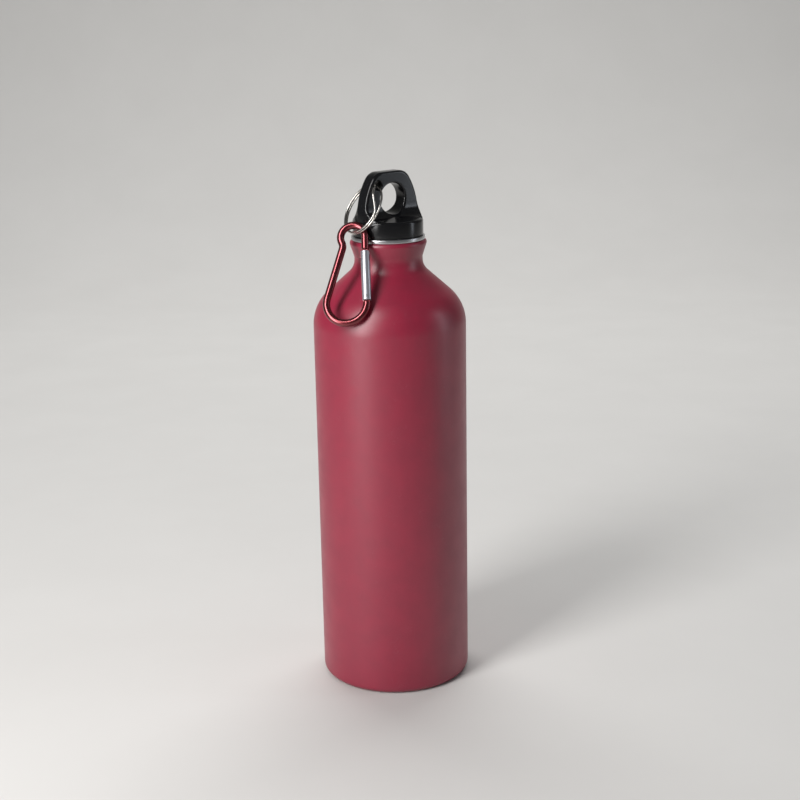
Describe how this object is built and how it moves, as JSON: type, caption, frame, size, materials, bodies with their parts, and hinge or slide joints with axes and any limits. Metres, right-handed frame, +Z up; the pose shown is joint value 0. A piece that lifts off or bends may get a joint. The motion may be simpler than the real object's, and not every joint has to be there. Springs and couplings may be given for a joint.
{
  "type": "water bottle",
  "caption": "Slim drawn metal drinking bottle with a black screw cap, a finger loop, a split ring and a spring-gate carabiner.",
  "frame": {"origin": "centre of the bottle's foot, on the surface it stands on", "axes": "+Z up along the bottle's axis, -Y is the side the carabiner hangs on, to the left"},
  "size_m": [0.074, 0.074, 0.2535],
  "materials": {
    "powder_coat": "aluminium sheet under a matt red powder coat with a fine grain",
    "bare_aluminium": "turned, satin",
    "seal_silicone": "translucent white, matt",
    "cap_plastic": "moulded, gloss",
    "stopper_plastic": "moulded, matt",
    "ring_nickel": "nickel plated spring steel",
    "red_anodised": "red anodised, gloss",
    "gate_silver": "clear anodised, satin",
    "pin_steel": "plain"
  },
  "bodies": {
    "bottle": {"bottle_shell": "powder_coat", "neck_insert": "bare_aluminium"},
    "seal": {"sealing_gasket": "seal_silicone"},
    "cap": {"cap_shell": "cap_plastic", "cap_plug": "stopper_plastic", "plug_disc": "stopper_plastic"},
    "ring": {"split_ring": "ring_nickel"},
    "carabiner": {"carabiner_frame": "red_anodised"},
    "gate": {"gate_sleeve": "gate_silver", "gate_rivet": "pin_steel", "latch_pin": "pin_steel", "gate_plunger": "pin_steel", "gate_spring": "pin_steel"}
  },
  "joints": [
    {"name": "cap_lift", "type": "slide", "parent": "bottle", "child": "seal", "axis": [0, 0, 1], "range_m": [0, 0.024]},
    {"name": "cap_turn", "type": "hinge", "parent": "seal", "child": "cap", "pos_m": [0, 0, 0.2232], "axis": [0, 0, 1], "range_deg": [0, 2160]},
    {"name": "ring_swing", "type": "hinge", "parent": "cap", "child": "ring", "pos_m": [-0.00636, -0.00534, 0.2476], "axis": [-0.6428, 0.766, 0], "range_deg": [0, 110]},
    {"name": "carabiner_slide", "type": "hinge", "parent": "ring", "child": "carabiner", "pos_m": [-0.01145, -0.00961, 0.23696], "axis": [-0.7328, -0.4332, 0.5248], "range_deg": [0, 80]},
    {"name": "gate_open", "type": "hinge", "parent": "carabiner", "child": "gate", "pos_m": [-0.0104, -0.03048, 0.19927], "axis": [-0.1736, -0.8695, 0.4623], "range_deg": [0, 22], "stiffness_Nm_per_rad": 0.02, "springref_deg": -17.19}
  ],
  "couplings": [
    {"joint": "cap_turn", "follows": "cap_lift", "rad_per_m": 1570.8}
  ]
}
